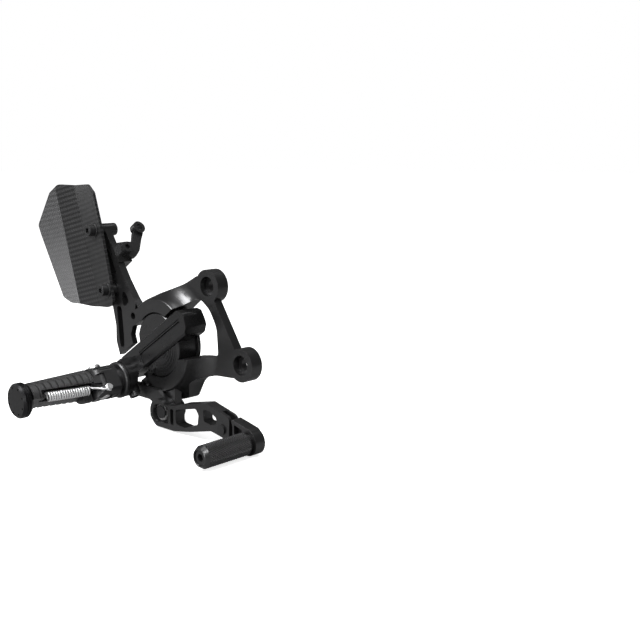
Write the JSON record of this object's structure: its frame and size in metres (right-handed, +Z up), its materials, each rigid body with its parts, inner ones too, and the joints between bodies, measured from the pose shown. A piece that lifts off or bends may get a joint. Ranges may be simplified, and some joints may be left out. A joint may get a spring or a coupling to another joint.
{
  "type": "rear sets footrest",
  "caption": "Motorbike rear set: frame plate with ring and turned disc, sliding bar, folding sprung footrest, heel guard and brake pedal with swinging toe peg.",
  "frame": {"origin": "midway between the two frame bolts, on the face that meets the motorcycle frame", "axes": "+X forward, +Z up, -Y outward to the rider; the bolt line leans 33 degrees back at its top"},
  "size_m": [0.2354, 0.1364, 0.1793],
  "materials": {
    "base_plate": "black anodised",
    "adjuster_disc": "black anodised, turned",
    "disc_flange": "satin",
    "disc_flange_screws": "black oxide",
    "disc_lock_screw": "black oxide",
    "disc_lock_nut": "zinc",
    "carrier_bar": "black anodised, brushed",
    "bar_screws": "black oxide",
    "fork_set_screw": "black oxide",
    "peg_fork": "black anodised",
    "hinge_pin": "polished",
    "hinge_clip": "satin",
    "peg_barrel": "black anodised, knurled",
    "end_cap": "black anodised",
    "return_spring": "bright wire",
    "spring_post": "satin",
    "spring_cross_pin": "black oxide",
    "heel_guard": "carbon weave",
    "guard_screws": "black oxide",
    "guard_spacers": "black anodised",
    "switch_bracket": "black anodised",
    "bracket_screw": "black oxide",
    "brake_pedal": "black anodised",
    "pedal_bushes": "bronze",
    "pivot_bolt": "black oxide",
    "pivot_washer": "satin",
    "pushrod_bolt": "black oxide",
    "pushrod_nut": "zinc",
    "toe_link": "black anodised",
    "toe_pin": "black oxide",
    "toe_pin_clip": "satin",
    "toe_spring": "wire",
    "toe_peg": "black anodised, knurled",
    "toe_peg_screw": "black oxide"
  },
  "bodies": {
    "frame_side": {"base_plate": "base_plate", "adjuster_disc": "adjuster_disc", "disc_flange": "disc_flange", "disc_flange_screws": "disc_flange_screws", "disc_lock_screw": "disc_lock_screw", "disc_lock_nut": "disc_lock_nut", "heel_guard": "heel_guard", "guard_screws": "guard_screws", "guard_spacers": "guard_spacers", "switch_bracket": "switch_bracket", "bracket_screw": "bracket_screw", "pivot_bolt": "pivot_bolt", "pivot_washer": "pivot_washer"},
    "bar": {"carrier_bar": "carrier_bar", "bar_screws": "bar_screws", "fork_set_screw": "fork_set_screw", "peg_fork": "peg_fork", "hinge_pin": "hinge_pin", "hinge_clip": "hinge_clip", "spring_post": "spring_post"},
    "footrest": {"peg_barrel": "peg_barrel", "end_cap": "end_cap", "spring_cross_pin": "spring_cross_pin", "return_spring": "return_spring"},
    "pedal": {"brake_pedal": "brake_pedal", "pedal_bushes": "pedal_bushes", "pushrod_bolt": "pushrod_bolt", "pushrod_nut": "pushrod_nut", "toe_pin": "toe_pin", "toe_pin_clip": "toe_pin_clip", "toe_spring": "toe_spring"},
    "toe": {"toe_link": "toe_link", "toe_peg": "toe_peg", "toe_peg_screw": "toe_peg_screw"}
  },
  "joints": [
    {"name": "bar_slide", "type": "slide", "parent": "frame_side", "child": "bar", "axis": [0.8387, 0, 0.5446], "range_m": [-0.004, 0.004]},
    {"name": "peg_fold", "type": "hinge", "parent": "bar", "child": "footrest", "pos_m": [-0.08129, -0.0618, -0.04742], "axis": [0.5446, 0, -0.8387], "range_deg": [0, 80], "stiffness_Nm_per_rad": 0.4, "springref_deg": -28.65, "deforming": ["return_spring"]},
    {"name": "brake_pedal_turn", "type": "hinge", "parent": "frame_side", "child": "pedal", "pos_m": [-0.04748, -0.028, -0.06899], "axis": [0, 1, 0], "range_deg": [0, 5], "stiffness_Nm_per_rad": 6, "springref_deg": -8.59},
    {"name": "toe_fold", "type": "hinge", "parent": "pedal", "child": "toe", "pos_m": [0.02402, -0.03, -0.06739], "axis": [0, -1, 0], "range_deg": [0, 30], "stiffness_Nm_per_rad": 0.2, "springref_deg": -34.38, "deforming": ["toe_spring"]}
  ]
}
